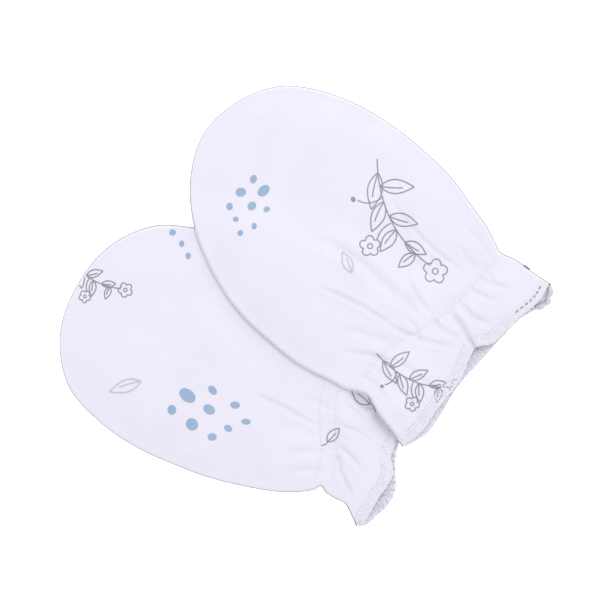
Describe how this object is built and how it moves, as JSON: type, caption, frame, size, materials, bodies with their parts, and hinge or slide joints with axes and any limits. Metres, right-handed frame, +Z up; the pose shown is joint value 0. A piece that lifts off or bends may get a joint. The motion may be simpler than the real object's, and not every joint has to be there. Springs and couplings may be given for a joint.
{
  "type": "pair of baby mittens",
  "caption": "Soft newborn scratch mittens laid flat, one resting on the other, with rounded hands, elastic wrists and ruffled open cuffs.",
  "frame": {"origin": "middle of the pair's bounding box, on the surface that it lies on", "axes": "+Z up from the surface; +X to the right of the picture, along the pair's longest side; +Y to the top of the picture"},
  "size_m": [0.1482, 0.1326, 0.0085],
  "materials": {
    "printed_jersey": "soft matt cotton jersey, off-white with a lavender cast and a sparse pale print"
  },
  "bodies": {
    "root": {"lower_back_panel": "printed_jersey", "lower_front_panel": "printed_jersey", "upper_back_panel": "printed_jersey", "upper_front_panel": "printed_jersey"}
  },
  "joints": []
}
